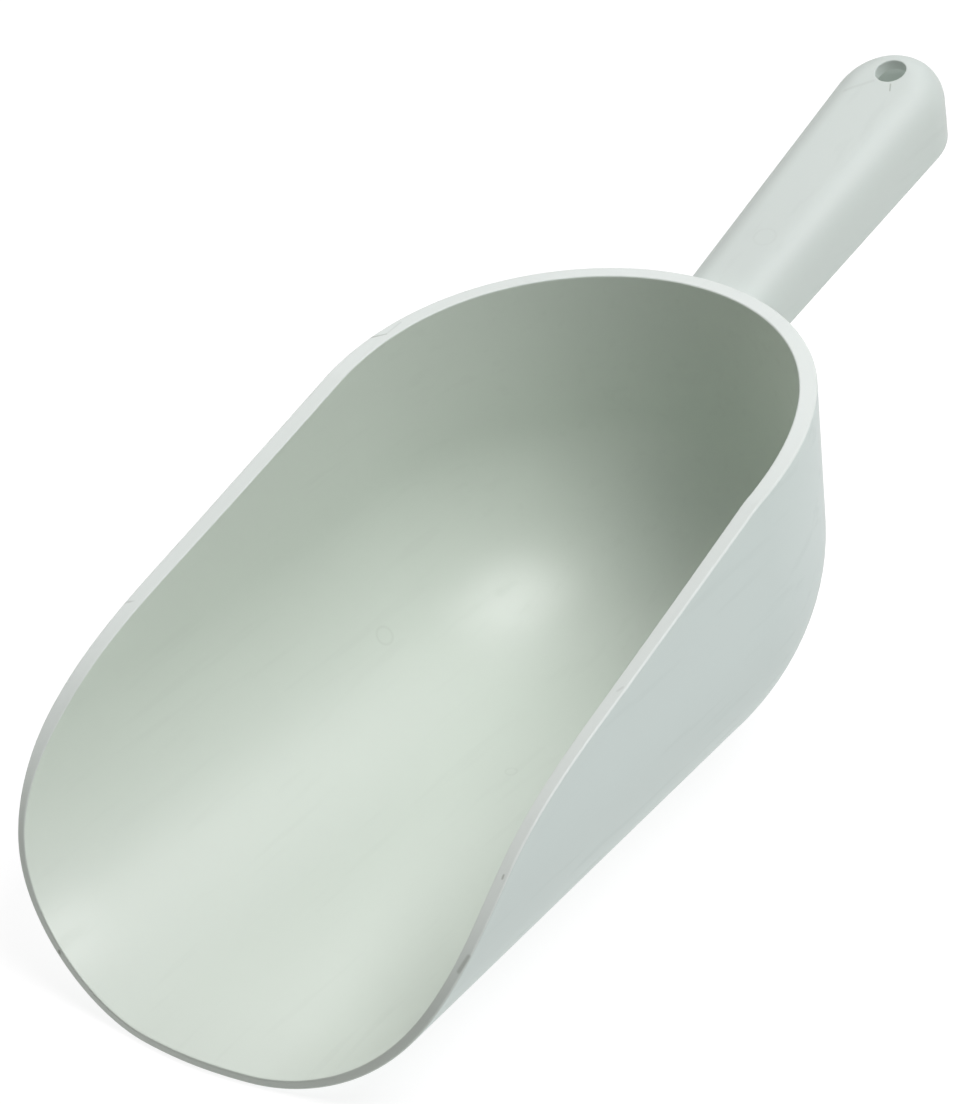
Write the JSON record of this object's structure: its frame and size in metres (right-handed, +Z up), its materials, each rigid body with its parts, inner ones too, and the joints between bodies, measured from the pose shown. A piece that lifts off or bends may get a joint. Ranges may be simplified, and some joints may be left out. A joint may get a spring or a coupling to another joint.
{
  "type": "ice scoop",
  "caption": "Moulded plastic ice scoop: deep round-backed bowl with a low pouring lip and a sloping channel handle with a hanging hole.",
  "frame": {"origin": "on the flat bottom of the bowl, on the mirror plane, under the place where the straight sides meet the rounded back", "axes": "+Y from the pouring lip towards the handle, +Z up out of the bowl's mouth, +X to the right seen from behind the handle"},
  "size_m": [0.153, 0.3577, 0.1249],
  "materials": {
    "bowl_plastic": "satin moulded polyethylene, pale grey-green",
    "rim_plastic": "the same plastic, smoother and lightly rubbed along the edge",
    "handle_plastic": "the same plastic, satin, polished a little by handling"
  },
  "bodies": {
    "root": {"bowl_shell": "bowl_plastic", "rim_land": "rim_plastic", "pouring_lip": "rim_plastic", "handle_channel": "handle_plastic", "hanging_tip": "handle_plastic"}
  },
  "joints": []
}
